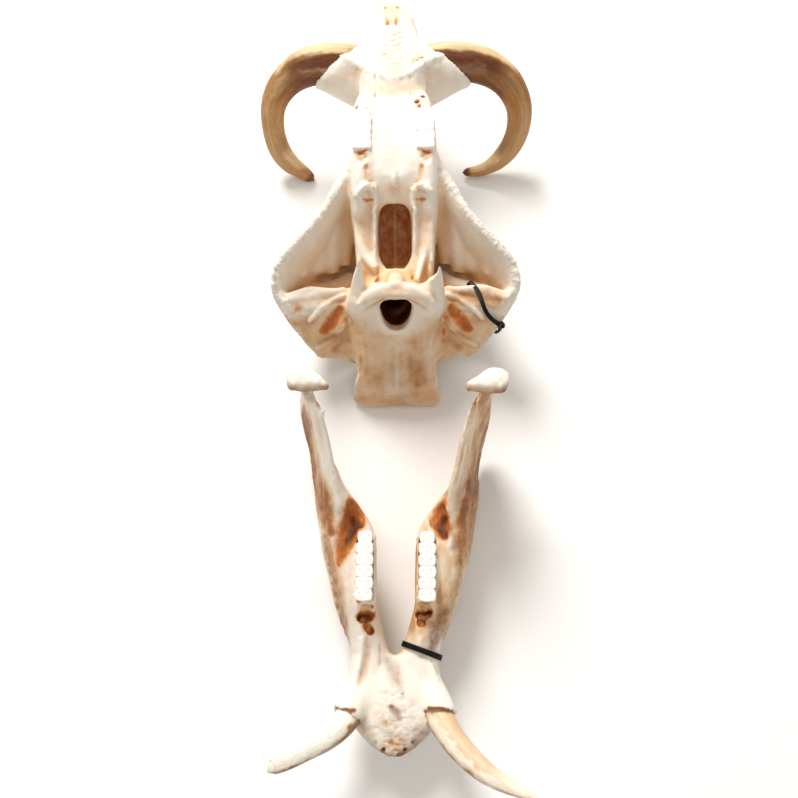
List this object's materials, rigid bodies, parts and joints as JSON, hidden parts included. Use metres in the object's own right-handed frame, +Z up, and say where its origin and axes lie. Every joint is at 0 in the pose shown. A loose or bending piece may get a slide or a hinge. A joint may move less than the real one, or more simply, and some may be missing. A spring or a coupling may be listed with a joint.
{
  "type": "warthog skull",
  "caption": "Still warthog skull at life size: upturned cranium with curling upper tusks, lower jaw with tusks beside it, and black ties round the bones.",
  "frame": {"origin": "centre of the bounding box in plan, at the floor that both bones rest on", "axes": "+Y from the jaw's chin towards the cranium's snout, +Z up from the floor, +X to the animal's left"},
  "size_m": [0.2972, 0.7884, 0.1568],
  "materials": {
    "bone": "matte",
    "upper_tusk": "satin",
    "lower_tusk": "satin",
    "tooth": "satin",
    "tie": "satin"
  },
  "bodies": {
    "root": {"cranium": "bone", "mandible": "bone", "upper_tusk_left": "upper_tusk", "upper_tusk_right": "upper_tusk", "lower_tusk_left": "lower_tusk", "lower_tusk_right": "lower_tusk", "upper_molar_left": "tooth", "upper_molar_right": "tooth", "lower_molar_left": "tooth", "lower_molar_right": "tooth", "arch_tie": "tie", "jaw_tie": "tie"}
  },
  "joints": []
}
